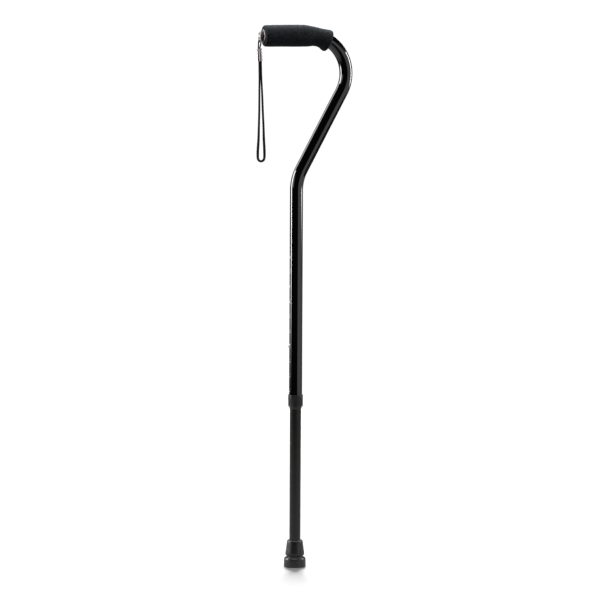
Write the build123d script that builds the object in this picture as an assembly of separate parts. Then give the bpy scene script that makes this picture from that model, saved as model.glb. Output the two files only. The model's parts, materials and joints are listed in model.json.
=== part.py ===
from build123d import *
import math
import os

# An offset-handle walking cane with a telescoping shaft.
# Millimetres. +Z is up the shaft, the origin is the centre of the rubber tip's underside,
# and the bent handle lies in the XZ plane with its free end towards -X.

# --- driving dimensions -------------------------------------------------------------------
TUBE_OD = 22.2           # upper tube, 7/8 inch
LEG_OD = 19.05           # lower tube, 3/4 inch
WALL = 1.2               # both tubes
HOLE_PITCH = 25.4        # one inch between height settings
HOLE_COUNT = 10
HOLE_IN_USE = 7          # counted from the top hole
HOLE_R = 3.3
BUTTON_R = 3.1
BUTTON_Z = 379.8         # height of the snap button

HANDLE_Z = 904.5         # centreline of the straight part of the handle
LOWER_CORNER_Z = 662.7   # where the shaft's line meets the slanting run's line
SLANT = 28.4             # the slanting run leans this far from vertical, in degrees
LOWER_BEND_R = 72.0
UPPER_BEND_R = 65.0
TUBE_END_X = -59.6       # free end of the handle tube
TUBE_FOOT_Z = 283.0      # lower end of the upper tube, inside the lock collar

TIP_H = 46.0
SOCKET_FLOOR_Z = 10.5
TIP_DISC_T = 1.5
LEG_TOP_Z = 440.0

COLLAR_OD = 25.2
COLLAR_Z = (275.7, 295.5)
COLLET_FOOT_Z = 271.5

WASHER_T = 1.2
PLUG_FACE_X = -65.2      # the flat on the plug's dome that the strap tab lies on
TAB_T = 1.4
TAB_GAP = 0.1
TAB_W = 12.5
TAB_FOOT_Z = 893.9

FERRULE_W = 9.4
FERRULE_T = 5.5
FERRULE_TOP = (-66.9, 883.2)     # X and Z of its two ends
FERRULE_FOOT = (-65.2, 862.8)
EYE_CORD_D = 1.8
WRIST_CORD_D = 2.8

# The foam grip's outside, as (place, above, below): its distance above and below the tube's
# centreline. A place is an X on the straight handle, or degrees round the upper bend.
GRIP_START_X = -59.0
GRIP_BORE_R = TUBE_OD / 2 + 0.05
GRIP_ROUNDING = 3.5
GRIP_R = 18.25
GRIP_STRAIGHT = [(GRIP_START_X + GRIP_ROUNDING, GRIP_R, GRIP_R), (-20.0, 18.3, 18.6), (5.0, 18.1, 19.0)]
GRIP_ROUND = [(1, 16.0, 18.5), (8, 14.8, 17.6), (15, 14.3, 17.4), (22, 15.6, 18.1),
              (28, 17.6, 19.5), (34, 17.9, 19.7), (42, 17.9, 19.7)]
GRIP_END = (56.0, 893.3)         # X and Z of the middle of the flared end face
GRIP_END_TILT = 22.0             # the end face leans this far from vertical, in degrees
GRIP_END_ROUNDING = 3.5

# The two cords' routes, as X and Z, from one leg in the ferrule round to the other.
WRIST_ROUTE = [(-66.7, 866.5), (-66.6, 852.0), (-66.05, 832.0), (-66.3, 808.0),
               (-66.25, 780.0), (-66.9, 752.0), (-67.4, 730.0), (-68.55, 714.5),
               (-68.75, 705.0), (-68.5, 697.6), (-65.1, 694.1), (-60.3, 694.1),
               (-57.1, 697.6), (-56.85, 705.0), (-57.05, 714.5), (-58.1, 730.0),
               (-58.7, 752.0), (-60.2, 780.0), (-61.3, 808.0), (-62.8, 832.0),
               (-63.3, 852.0), (-63.7, 866.5)]
EYE_ROUTE = [(-68.03, 881.2), (-68.37, 885.3), (-68.2, 889.6), (-68.05, 892.6),
             (-68.05, 895.4), (-66.85, 896.6), (-65.15, 896.6), (-63.95, 895.4),
             (-63.95, 892.6), (-64.3, 889.6), (-65.78, 885.3), (-65.44, 881.2)]

# --- worked out ---------------------------------------------------------------------------
TUBE_R = TUBE_OD / 2
TUBE_BORE_R = TUBE_R - WALL
LEG_R = LEG_OD / 2
LEG_BORE_R = LEG_R - WALL
LEG_FOOT_Z = SOCKET_FLOOR_Z + TIP_DISC_T
UPPER_CORNER_X = (HANDLE_Z - LOWER_CORNER_Z) * math.tan(math.radians(SLANT))
UPPER_BEND_X = UPPER_CORNER_X - UPPER_BEND_R * math.tan(math.radians((90 + SLANT) / 2))
UPPER_BEND_Z = HANDLE_Z - UPPER_BEND_R
TOP_HOLE_Z = BUTTON_Z + (HOLE_IN_USE - 1) * HOLE_PITCH
WASHER_X = TUBE_END_X - WASHER_T
TAB_X = PLUG_FACE_X - TAB_GAP - TAB_T / 2
BAR_R = TAB_T / 2
BAR_Z = TAB_FOOT_Z + BAR_R


# --- helpers ------------------------------------------------------------------------------
def turned(profile, axis=Axis.Z):
    """A solid of revolution from (radius, height) points, straight lines between them."""
    face = make_face(Plane.XZ * Polyline(*profile, close=True))
    return revolve(face, axis)


def rod(radius, low, high):
    """An upright round bar on the shaft's centreline."""
    return Pos(0, 0, (low + high) / 2) * Cylinder(radius, high - low)


def rod_x(radius, x_from, x_to, z, y=0.0):
    """A round bar along X."""
    length = x_to - x_from
    return Pos((x_from + x_to) / 2, y, z) * Rot(0, 90, 0) * Cylinder(radius, length)


def tube_path(foot_z, end_x):
    """The bent tube's centreline, from a height on the shaft to a place on the handle."""
    corners = [(0, 0, foot_z), (0, 0, LOWER_CORNER_Z), (UPPER_CORNER_X, 0, HANDLE_Z), (end_x, 0, HANDLE_Z)]
    return FilletPolyline(*corners, radius=[LOWER_BEND_R, UPPER_BEND_R])


def along_tube(radius, foot_z, end_x):
    """A solid bar of this radius that follows the bent tube."""
    return sweep(Plane.XY.offset(foot_z) * Circle(radius), tube_path(foot_z, end_x))


def corner_radii(points):
    """For each inner point of a cord's route, the largest arc that its two runs allow."""
    radii = []
    for a, b, c in zip(points, points[1:], points[2:]):
        before, after = Vector(*b) - Vector(*a), Vector(*c) - Vector(*b)
        half_turn = math.radians(before.get_angle(after)) / 2
        radii.append(0.45 * min(before.length, after.length) / math.tan(half_turn))
    return radii


def cord(name, route, diameter):
    """A cord's tube in the XZ plane, with its radii and its volume printed."""
    points = [(x, 0, z) for x, z in route]
    radii = corner_radii(points)
    path = FilletPolyline(*points, radius=radii)
    start = Plane(origin=points[0], z_dir=Vector(*points[1]) - Vector(*points[0]))
    solid = sweep(start * Circle(diameter / 2), path)
    share = solid.volume / (math.pi * diameter**2 / 4 * path.length)
    print(f"{name}: length {path.length:.1f}, smallest radius {min(radii):.2f}, volume share {share:.4f}")
    print("  radii", [round(r, 1) for r in radii])
    return solid


# --- the tubes ----------------------------------------------------------------------------
def upper_tube():
    """Bent aluminium tube with a row of button holes on the side below the handle's free end."""
    solid = along_tube(TUBE_R, TUBE_FOOT_Z, TUBE_END_X)
    solid -= along_tube(TUBE_BORE_R, TUBE_FOOT_Z, TUBE_END_X)
    for k in range(HOLE_COUNT):
        solid -= rod_x(HOLE_R, -TUBE_OD, -TUBE_BORE_R / 2, TOP_HOLE_Z - k * HOLE_PITCH)
    return solid


def lower_tube():
    """Straight aluminium leg with one hole for the snap button."""
    solid = rod(LEG_R, LEG_FOOT_Z, LEG_TOP_Z) - rod(LEG_BORE_R, LEG_FOOT_Z, LEG_TOP_Z)
    return solid - rod_x(HOLE_R, -LEG_OD, -LEG_BORE_R / 2, BUTTON_Z)


def leg_top_guide():
    """Nylon plug in the leg's top end; its rim steadies the leg inside the upper tube."""
    stem_r, stem_wall, stem_len = LEG_BORE_R - 0.03, 1.6, 16.0
    rim_r, rim_t, chamfer_t = TUBE_BORE_R - 0.1, 3.0, 0.8
    foot, top = LEG_TOP_Z - stem_len, LEG_TOP_Z + rim_t
    return turned([
        (0, top), (rim_r - chamfer_t, top), (rim_r, top - chamfer_t), (rim_r, LEG_TOP_Z),
        (stem_r, LEG_TOP_Z), (stem_r, foot), (stem_r - stem_wall, foot),
        (stem_r - stem_wall, LEG_TOP_Z - 1), (0, LEG_TOP_Z - 1)])


# --- the height lock ----------------------------------------------------------------------
BUTTON_FLANGE_X = (-7.0, -6.0)
LEAF_T = 0.6
LEAF_W = 8.0


def snap_button():
    """Domed steel button with a flange that stops it inside the leg."""
    dome_x, edge_x = -13.7, -12.3
    flange_r = 4.0
    body = rod_x(BUTTON_R, edge_x, BUTTON_FLANGE_X[1], BUTTON_Z)
    body += rod_x(flange_r, *BUTTON_FLANGE_X, BUTTON_Z)
    rise = edge_x - dome_x
    ball_r = (BUTTON_R**2 + rise**2) / (2 * rise)
    ball = Pos(dome_x + ball_r, 0, BUTTON_Z) * Sphere(ball_r)
    return body + (ball & rod_x(BUTTON_R, dome_x, edge_x, BUTTON_Z))


def snap_spring():
    """V-shaped leaf that pushes the button out and bears on the leg's far wall."""
    seat_x, far_x, foot_z, bend_r = BUTTON_FLANGE_X[1] + LEAF_T / 2, 7.0, 340.0, 2.2
    seat_low, seat_high = BUTTON_Z - 6, BUTTON_Z + 6
    line = FilletPolyline(
        (seat_x, 0, seat_high), (seat_x, 0, seat_low), (0, 0, foot_z), (far_x - 1.6, 0, seat_low),
        (far_x, 0, seat_high - 3), radius=[4.0, bend_r, 6.0])
    start = Plane(origin=(seat_x, 0, seat_high), x_dir=(1, 0, 0), z_dir=(0, 0, -1))
    return sweep(start * Rectangle(LEAF_T, LEAF_W), line)


# --- the lock collar ----------------------------------------------------------------------
THREAD_GAP = 0.05        # the threads are plain walls this far apart
TAPER_TOP_Z = TUBE_FOOT_Z - 0.5


def lock_collar():
    """Nylon nut on the upper tube's threaded end, with two rings at its top and fine grip flutes."""
    low, high = COLLAR_Z
    r, bore, taper_foot = COLLAR_OD / 2, TUBE_R + THREAD_GAP, 10.85
    groove_r, groove_t, ring_t = r - 0.5, 0.9, 1.5
    ring_foot = high - 2 * ring_t - groove_t
    solid = turned([
        (taper_foot, low), (r - 0.5, low), (r, low + 0.5), (r, ring_foot - groove_t),
        (groove_r, ring_foot - groove_t), (groove_r, ring_foot), (r, ring_foot),
        (r, ring_foot + ring_t), (groove_r, ring_foot + ring_t), (groove_r, high - ring_t),
        (r, high - ring_t), (r, high - 0.4), (r - 0.4, high), (bore, high),
        (bore, TAPER_TOP_Z)])
    flutes, flute_r, flute_len = 30, 0.45, ring_foot - groove_t - low - 2.4
    cutter = Cylinder(flute_r, flute_len)
    for k in range(flutes):
        solid -= Rot(0, 0, 360 * k / flutes) * Pos(r + 0.2, 0, low + 1.2 + flute_len / 2) * cutter
    return solid


def collet():
    """Split nylon ring that the collar's taper squeezes on the leg; its tapered lip shows below."""
    bore, top = LEG_R + 0.08, TUBE_FOOT_Z - 0.6
    solid = turned([
        (bore, COLLET_FOOT_Z), (bore + 0.3, COLLET_FOOT_Z), (10.75, COLLAR_Z[0] - 0.6),
        (10.75, COLLAR_Z[0]), (TUBE_R - 0.05, top), (bore, top)])
    slit = Pos(LEG_R, 0, (COLLET_FOOT_Z + top) / 2) * Box(6, 1.2, 20)
    return solid - slit


# --- the rubber tip -----------------------------------------------------------------------
def rubber_tip():
    """Bell-shaped tip: cone, groove and flange outside, a socket for the leg and a ring tread."""
    outline = [
        (0, 0), (5.5, 0), (5.5, 1.6), (8.0, 1.6), (8.0, 0), (11.0, 0), (11.0, 1.6), (13.5, 1.6),
        (13.5, 0), (18.4, 0), (18.95, 0.6), (18.7, 8.0), (18.25, 16.2), (17.6, 17.0),
        (15.1, 18.0), (15.1, 20.6), (16.25, 22.4), (16.0, 24.5), (14.95, 33.0), (13.6, 43.6),
        (12.9, 45.4), (11.8, TIP_H), (10.6, TIP_H), (LEG_R + 0.03, TIP_H - 1.2),
        (LEG_R + 0.03, SOCKET_FLOOR_Z), (0, SOCKET_FLOOR_Z)]
    return turned(outline)


def tip_disc():
    """Steel disc on the socket's floor that keeps the leg from cutting through the rubber."""
    return rod(LEG_R - 0.1, SOCKET_FLOOR_Z, SOCKET_FLOOR_Z + TIP_DISC_T)


# --- the handle ---------------------------------------------------------------------------
def grip_section(x, z, degrees, above, below):
    """One round section of the grip, set off the tube's centreline towards its thicker side."""
    normal = Vector(math.sin(math.radians(degrees)), 0, math.cos(math.radians(degrees)))
    forward = Vector(normal.Z, 0, -normal.X)
    middle = Vector(x, 0, z) + normal * ((above - below) / 2)
    return Plane(origin=middle, x_dir=normal, z_dir=forward) * Circle((above + below) / 2)


def grip_start():
    """The grip's first few millimetres, with a rounded edge."""
    full_x, flat_r = GRIP_START_X + GRIP_ROUNDING, GRIP_R - GRIP_ROUNDING
    outline = Polyline((full_x, HANDLE_Z + GRIP_R), (full_x, HANDLE_Z), (GRIP_START_X, HANDLE_Z),
                       (GRIP_START_X, HANDLE_Z + flat_r))
    outline += RadiusArc((GRIP_START_X, HANDLE_Z + flat_r), (full_x, HANDLE_Z + GRIP_R), GRIP_ROUNDING)
    return revolve(make_face(Plane.XZ * outline), Axis((0, 0, HANDLE_Z), (1, 0, 0)))


def foam_grip():
    """Foam sleeve, narrow over the start of the bend and flared at its end."""
    sections = [grip_section(x, HANDLE_Z, 0, above, below) for x, above, below in GRIP_STRAIGHT]
    for degrees, above, below in GRIP_ROUND:
        turn = math.radians(degrees)
        x = UPPER_BEND_X + UPPER_BEND_R * math.sin(turn)
        z = UPPER_BEND_Z + UPPER_BEND_R * math.cos(turn)
        sections.append(grip_section(x, z, degrees, above, below))
    solid = loft(sections, ruled=True)
    tilt = math.radians(GRIP_END_TILT)
    end = Plane(origin=(GRIP_END[0], 0, GRIP_END[1]), x_dir=(0, 1, 0),
                z_dir=(math.cos(tilt), 0, -math.sin(tilt)))
    solid -= end * Box(80, 80, 40, align=(Align.CENTER, Align.CENTER, Align.MIN))
    end_face = solid.faces().sort_by(Axis(end.origin, end.z_dir))[-1]
    solid = solid.fillet(GRIP_END_ROUNDING, end_face.outer_wire().edges())
    solid += grip_start()
    return solid - along_tube(GRIP_BORE_R, LOWER_CORNER_Z - 60, GRIP_START_X - 5)


def handle_end_plug():
    """Domed plug for the handle tube, on a ribbed stem, with a pilot hole for the tab's screw."""
    core_r, fin_r, fin_t, neck_x, tail_x = 7.9, TUBE_BORE_R - 0.03, 0.9, WASHER_X, -41.0
    rim_r, flat_r, pilot_r, rim_x = 9.2, 4.5, 2.05, WASHER_X - 0.7
    rim, flat_edge = (rim_x, HANDLE_Z + rim_r), (PLUG_FACE_X, HANDLE_Z + flat_r)
    outline = Polyline(flat_edge, (PLUG_FACE_X, HANDLE_Z), (neck_x, HANDLE_Z), (neck_x, rim[1]), rim)
    outline += ThreePointArc(rim, (-64.0, HANDLE_Z + 7.3), flat_edge)
    solid = revolve(make_face(Plane.XZ * outline), Axis((0, 0, HANDLE_Z), (1, 0, 0)))
    solid += rod_x(core_r, neck_x, tail_x, HANDLE_Z)
    for k in range(4):
        fin_x = TUBE_END_X + 2.5 + 4 * k
        solid += rod_x(fin_r, fin_x, fin_x + fin_t, HANDLE_Z)
    return solid - rod_x(pilot_r, PLUG_FACE_X - 1, tail_x + 1, HANDLE_Z)


def end_washer():
    """Nickel-plated ring between the plug's head and the tube's end."""
    outer_r, hole_r = 11.4, 8.1
    hole = rod_x(hole_r, WASHER_X - 1, TUBE_END_X + 1, HANDLE_Z)
    return rod_x(outer_r, WASHER_X, TUBE_END_X, HANDLE_Z) - hole


# --- the strap ----------------------------------------------------------------------------
TAB_HOLE_R = 2.15


def strap_tab():
    """Stamped tab on the handle's end, with a slot whose rounded lower bar carries the cord."""
    slot_w, slot_top, corner = 7.4, 900.2, 2.0
    x_front = TAB_X - TAB_T / 2
    shape = Pos(0, (TAB_FOOT_Z + HANDLE_Z) / 2) * RectangleRounded(TAB_W, HANDLE_Z - TAB_FOOT_Z, corner)
    shape += Pos(0, HANDLE_Z) * Circle(TAB_W / 2)
    shape -= Pos(0, HANDLE_Z) * Circle(TAB_HOLE_R)
    shape -= Pos(0, (TAB_FOOT_Z - 1 + slot_top) / 2) * Rectangle(slot_w, slot_top - TAB_FOOT_Z + 1)
    solid = extrude(Plane(origin=(x_front, 0, 0), x_dir=(0, 1, 0), z_dir=(1, 0, 0)) * shape, TAB_T)
    bar = Pos(TAB_X, 0, BAR_Z) * Rot(90, 0, 0) * Cylinder(BAR_R, slot_w + 1.0)
    return solid + bar


def tab_screw():
    """Dome-head screw that holds the tab and the plug, with a cross recess."""
    head_r, head_h, shank_r, shank_len = 4.0, 1.7, 2.0, 20.0
    head_x = TAB_X - TAB_T / 2 - 0.05
    ball_r = (head_r**2 + head_h**2) / (2 * head_h)
    ball = Pos(head_x - head_h + ball_r, 0, HANDLE_Z) * Sphere(ball_r)
    head = ball & rod_x(head_r, head_x - head_h, head_x, HANDLE_Z)
    recess_w, recess_len, recess_depth = 0.9, 3.6, 1.0
    middle = Pos(head_x - head_h, 0, HANDLE_Z)
    head -= middle * Box(2 * recess_depth, recess_w, recess_len)
    head -= middle * Box(2 * recess_depth, recess_len, recess_w)
    return head + rod_x(shank_r, head_x, head_x + shank_len, HANDLE_Z)


def strap_ferrule():
    """Crimped metal sleeve that joins the small loop to the wrist loop, with a blind hole per leg."""
    top, foot = Vector(FERRULE_TOP[0], 0, FERRULE_TOP[1]), Vector(FERRULE_FOOT[0], 0, FERRULE_FOOT[1])
    rise = top - foot
    plane = Plane(origin=foot, x_dir=(1, 0, -rise.X / rise.Z), z_dir=rise)
    sleeve = extrude(plane * SlotOverall(FERRULE_W, FERRULE_T), rise.length)
    ends = sleeve.faces().sort_by(Axis.Z)
    sleeve = chamfer(ends[0].edges() + ends[-1].edges(), 0.4)
    for points, diameter in ((EYE_ROUTE, EYE_CORD_D), (WRIST_ROUTE, WRIST_CORD_D)):
        for end, along in ((points[0], points[1]), (points[-1], points[-2])):
            start = Vector(end[0], 0, end[1])
            way = Vector(along[0], 0, along[1]) - start
            sleeve -= extrude(Plane(origin=start, z_dir=way) * Circle(diameter / 2 + 0.03), 12)
    return sleeve


# --- all of it ----------------------------------------------------------------------------
PARTS = {
    "upper_tube": upper_tube,
    "lower_tube": lower_tube,
    "leg_top_guide": leg_top_guide,
    "snap_button": snap_button,
    "snap_spring": snap_spring,
    "lock_collar": lock_collar,
    "collet": collet,
    "rubber_tip": rubber_tip,
    "tip_disc": tip_disc,
    "foam_grip": foam_grip,
    "handle_end_plug": handle_end_plug,
    "end_washer": end_washer,
    "strap_tab": strap_tab,
    "tab_screw": tab_screw,
    "strap_ferrule": strap_ferrule,
    "strap_eye_loop": lambda: cord("strap_eye_loop", EYE_ROUTE, EYE_CORD_D),
    "wrist_loop": lambda: cord("wrist_loop", WRIST_ROUTE, WRIST_CORD_D),
}

os.makedirs("parts", exist_ok=True)
for node, make in PARTS.items():
    export_step(make(), f"parts/{node}.step")
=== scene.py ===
"""The looks of an offset-handle walking cane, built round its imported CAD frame.

Everything is in metres in the CAD frame: +Z up the shaft, the origin under the rubber tip,
the bent handle in the XZ plane with its free end towards -X.
"""

import json
import math

import bmesh
import bpy
import numpy as np
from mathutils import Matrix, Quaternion, Vector, noise


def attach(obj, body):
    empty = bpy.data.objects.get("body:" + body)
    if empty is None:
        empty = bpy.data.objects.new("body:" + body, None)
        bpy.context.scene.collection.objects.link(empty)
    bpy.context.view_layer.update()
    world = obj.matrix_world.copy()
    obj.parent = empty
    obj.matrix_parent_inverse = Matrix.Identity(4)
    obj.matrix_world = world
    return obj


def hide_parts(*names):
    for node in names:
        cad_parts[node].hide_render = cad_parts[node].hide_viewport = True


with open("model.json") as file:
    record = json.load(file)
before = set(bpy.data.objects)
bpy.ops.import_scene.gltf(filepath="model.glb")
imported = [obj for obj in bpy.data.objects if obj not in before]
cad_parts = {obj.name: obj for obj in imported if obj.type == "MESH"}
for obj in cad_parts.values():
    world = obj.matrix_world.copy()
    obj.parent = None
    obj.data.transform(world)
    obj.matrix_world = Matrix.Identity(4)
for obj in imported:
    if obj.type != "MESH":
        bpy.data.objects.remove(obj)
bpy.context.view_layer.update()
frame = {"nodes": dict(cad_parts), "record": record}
scene = bpy.context.scene
MM = 0.001

# --- sizes, in millimetres, as in the CAD ---
TUBE_R = 11.1
TUBE_BORE_R = 9.9
LEG_R = 9.525
LEG_BORE_R = 8.325
LEG_FOOT_Z = 12.0
LEG_TOP_Z = 440.0
TUBE_FOOT_Z = 283.0
TUBE_END_X = -59.6
HANDLE_Z = 904.5
LOWER_CORNER_Z = 662.7
SLANT = math.radians(28.4)
LOWER_BEND_R = 72.0
UPPER_BEND_R = 65.0
HOLE_R = 3.3
BUTTON_Z = 379.8
HOLES_Z = [BUTTON_Z + 25.4 * k for k in range(-3, 7)]

CORNER_X = (HANDLE_Z - LOWER_CORNER_Z) * math.tan(SLANT)
LOWER_CUT = LOWER_BEND_R * math.tan(SLANT / 2)
UPPER_CUT = UPPER_BEND_R * math.tan((math.pi / 2 + SLANT) / 2)
UPPER_BEND_X = CORNER_X - UPPER_CUT
UPPER_BEND_Z = HANDLE_Z - UPPER_BEND_R


def placed(name, data):
    """A new object in the scene."""
    made = bpy.data.objects.new(name, data)
    scene.collection.objects.link(made)
    return made


# --- camera ---
def make_camera():
    """Far off, a little to the handle's side and a little above."""
    azimuth, tilt, roll = math.radians(-18.0), math.radians(6.8), math.radians(0.275)
    distance, aim_z, aim_right = 7.0, 0.4573, 0.0068
    right = Vector((math.cos(azimuth), math.sin(azimuth), 0))
    back = Vector((math.sin(azimuth) * math.cos(tilt), -math.cos(azimuth) * math.cos(tilt),
                   math.sin(tilt)))
    data = bpy.data.cameras.new("camera")
    data.lens = 248.25
    data.sensor_width = 36.0
    data.clip_start, data.clip_end = 0.1, 100.0
    camera = placed("camera", data)
    camera.location = right * aim_right + Vector((0, 0, aim_z)) + back * distance
    camera.rotation_mode = "QUATERNION"
    camera.rotation_quaternion = (-back).to_track_quat("-Z", "Y") @ Quaternion((0, 0, 1), roll)
    scene.camera = camera


make_camera()


# --- shader helpers ---
def feed(tree, socket, value):
    """Links a socket to another, or sets its value."""
    if isinstance(value, bpy.types.NodeSocket):
        tree.links.new(value, socket)
    else:
        socket.default_value = value


def drive(tree, node, **inputs):
    """Links or sets a node's inputs."""
    for key, value in inputs.items():
        feed(tree, node.inputs[key.replace("_", " ")], value)


def add(tree, kind, settings=None, **inputs):
    """A node with its settings, and its inputs linked or set."""
    node = tree.nodes.new(kind)
    for key, value in (settings or {}).items():
        setattr(node, key, value)
    drive(tree, node, **inputs)
    return node


def new_material(name, **sockets):
    """A material with its uniform values on the shader's own sockets, its tree and its shader."""
    material = bpy.data.materials.new(name)
    material.use_nodes = True
    shader = material.node_tree.nodes["Principled BSDF"]
    drive(material.node_tree, shader, **sockets)
    return material, material.node_tree, shader


def place(tree, scale=(1, 1, 1)):
    """The piece's own coordinates in metres, stretched."""
    coords = add(tree, "ShaderNodeTexCoord").outputs["Object"]
    return add(tree, "ShaderNodeMapping", Vector=coords, Scale=scale).outputs["Vector"]


def grain(tree, size_mm, detail=3.0, roughness=0.55, stretch=(1, 1, 1)):
    """Noise from 0 to 1 with features about this size."""
    made = add(tree, "ShaderNodeTexNoise", Vector=place(tree, stretch), Scale=1000.0 / size_mm,
               Detail=detail, Roughness=roughness)
    return made.outputs["Fac"]


def cells(tree, size_mm):
    """Voronoi distance with cells about this size."""
    made = add(tree, "ShaderNodeTexVoronoi", Vector=place(tree), Scale=1000.0 / size_mm)
    return made.outputs["Distance"]


def marked(tree, attribute):
    """The value of one of the mesh's own attributes."""
    return add(tree, "ShaderNodeAttribute", {"attribute_name": attribute}).outputs["Fac"]


def ramp(tree, value, *stops):
    """A colour ramp; each stop is (place, grey value or colour)."""
    node = add(tree, "ShaderNodeValToRGB", Fac=value)
    elements = node.color_ramp.elements
    for k, (where, colour) in enumerate(stops):
        element = elements[k] if k < 2 else elements.new(where)
        element.position = where
        element.color = (*colour, 1) if isinstance(colour, tuple) else (colour, colour, colour, 1)
    return node.outputs["Color"]


def maths(tree, operation, a, b=0.0, c=0.0):
    """One step of arithmetic on up to three values."""
    node = add(tree, "ShaderNodeMath", {"operation": operation})
    for socket, value in zip(node.inputs, (a, b, c)):
        feed(tree, socket, value)
    return node.outputs[0]


def times(tree, a, b):
    """Two values multiplied."""
    return maths(tree, "MULTIPLY", a, b)


def plus(tree, a, b):
    """Two values added."""
    return maths(tree, "ADD", a, b)


def rise(tree, value, start, full, curve="SMOOTHSTEP", top=1.0):
    """0 where the value is at its start, up to the top where it is full."""
    return add(tree, "ShaderNodeMapRange", {"interpolation_type": curve}, Value=value,
               From_Min=start, From_Max=full, To_Max=top).outputs["Result"]


def either(tree, share, first, second):
    """One shader or another."""
    both = add(tree, "ShaderNodeMixShader", Fac=share)
    tree.links.new(first.outputs[0], both.inputs[1])
    tree.links.new(second.outputs[0], both.inputs[2])
    return both.outputs[0]


def mix(tree, factor, a, b):
    """A colour between a and b."""
    node = add(tree, "ShaderNodeMix", {"data_type": "RGBA"})
    for socket, value in ((node.inputs[0], factor), (node.inputs[6], a), (node.inputs[7], b)):
        feed(tree, socket, (*value, 1) if isinstance(value, tuple) else value)
    return node.outputs[2]


def bump(tree, shader, *layers):
    """Bump layers of (height, micrometres), one on the other, into the shader's normal."""
    normal = None
    for height, micrometres in layers:
        node = add(tree, "ShaderNodeBump", Height=height, Strength=1.0, Distance=micrometres * 1e-6)
        if normal is not None:
            tree.links.new(normal, node.inputs["Normal"])
        normal = node.outputs["Normal"]
    tree.links.new(normal, shader.inputs["Normal"])


# --- materials ---
def gloss_black():
    """Black enamel on aluminium, with bare metal where the 'wear' attribute says."""
    material, tree, shader = new_material("gloss_black", Specular_IOR_Level=0.5, Coat_Weight=0.4,
                                          Coat_Roughness=0.04, Coat_IOR=1.5)
    wear = marked(tree, "wear")
    chips = plus(tree, wear, times(tree, grain(tree, 0.5, 5.0, 0.7), 0.5))
    bare = ramp(tree, chips, (0.78, 0.0), (0.86, 1.0))
    tone = mix(tree, grain(tree, 25.0), (0.003, 0.003, 0.0034), (0.0062, 0.0056, 0.0052))
    colour = mix(tree, bare, tone, (0.52, 0.51, 0.5))
    smudge = ramp(tree, grain(tree, 9.0, 6.0, 0.6), (0.35, 0.045), (0.72, 0.1))
    rub = ramp(tree, grain(tree, 0.6, 2.0, 0.5, (1, 1, 0.02)), (0.66, 0.0), (0.84, 0.06))
    rough = plus(tree, plus(tree, smudge, rub), times(tree, bare, 0.25))
    drive(tree, shader, Base_Color=colour, Roughness=rough, Metallic=bare)
    bump(tree, shader, (grain(tree, 2.4, 2.0, 0.5), 2.0),
         (grain(tree, 0.3, 3.0, 0.6, (1, 1, 0.05)), 0.25))
    return material


def anodised_leg():
    """Dark anodised aluminium with drawn lines along it and rub marks from the lock ring."""
    material, tree, shader = new_material("anodised_leg", Specular_IOR_Level=0.5)
    along = grain(tree, 0.35, 4.0, 0.6, (1, 1, 0.012))
    patches = grain(tree, 14.0, 5.0, 0.6, (1, 1, 0.5))
    tone = mix(tree, patches, (0.006, 0.004, 0.0034), (0.0115, 0.008, 0.0066))
    rubbed = ramp(tree, along, (0.6, 0.0), (0.74, 1.0))
    colour = mix(tree, times(tree, rubbed, 0.25), tone, (0.03, 0.026, 0.023))
    rough = plus(tree, ramp(tree, patches, (0.3, 0.16), (0.7, 0.24)),
                  times(tree, along, 0.08))
    drive(tree, shader, Base_Color=colour, Roughness=rough)
    bump(tree, shader, (along, 2.5), (grain(tree, 0.15, 3.0, 0.6), 1.2))
    return material


def moulded(name, dark, light, low, high):
    """Moulded black plastic with a fine texture and slightly paler high spots."""
    material, tree, shader = new_material(name, Specular_IOR_Level=0.5)
    fine = grain(tree, 0.35, 3.0, 0.6)
    broad = grain(tree, 6.0, 4.0, 0.6)
    wear = marked(tree, "wear")
    tone = mix(tree, broad, dark, light)
    spots = ramp(tree, grain(tree, 0.8, 5.0, 0.7), (0.4, 0.0), (0.6, 1.0))
    scuffed = times(tree, wear, spots)
    colour = mix(tree, times(tree, scuffed, 0.5), tone, tuple(4.0 * c + 0.01 for c in light))
    rough = plus(tree, ramp(tree, broad, (0.3, low), (0.7, high)),
                  times(tree, fine, 0.08))
    drive(tree, shader, Base_Color=colour, Roughness=rough)
    bump(tree, shader, (fine, 6.0), (grain(tree, 2.5, 3.0, 0.6), 5.0))
    return material


def tip_rubber():
    """Dark grey rubber with a bloom of dust in patches."""
    material, tree, shader = new_material("tip_rubber", Specular_IOR_Level=0.6)
    mottle = grain(tree, 5.0, 6.0, 0.65)
    speck = cells(tree, 0.7)
    dust = times(tree, ramp(tree, grain(tree, 11.0, 5.0, 0.7), (0.42, 0.0), (0.72, 1.0)), 0.5)
    tone = mix(tree, mottle, (0.0045, 0.005, 0.0055), (0.009, 0.0096, 0.01))
    colour = mix(tree, dust, tone, (0.024, 0.023, 0.022))
    rough = ramp(tree, mottle, (0.3, 0.24), (0.7, 0.36))
    drive(tree, shader, Base_Color=colour, Roughness=rough)
    bump(tree, shader, (grain(tree, 0.4, 4.0, 0.6), 7.0), (speck, 4.0), (mottle, 18.0))
    return material


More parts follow.
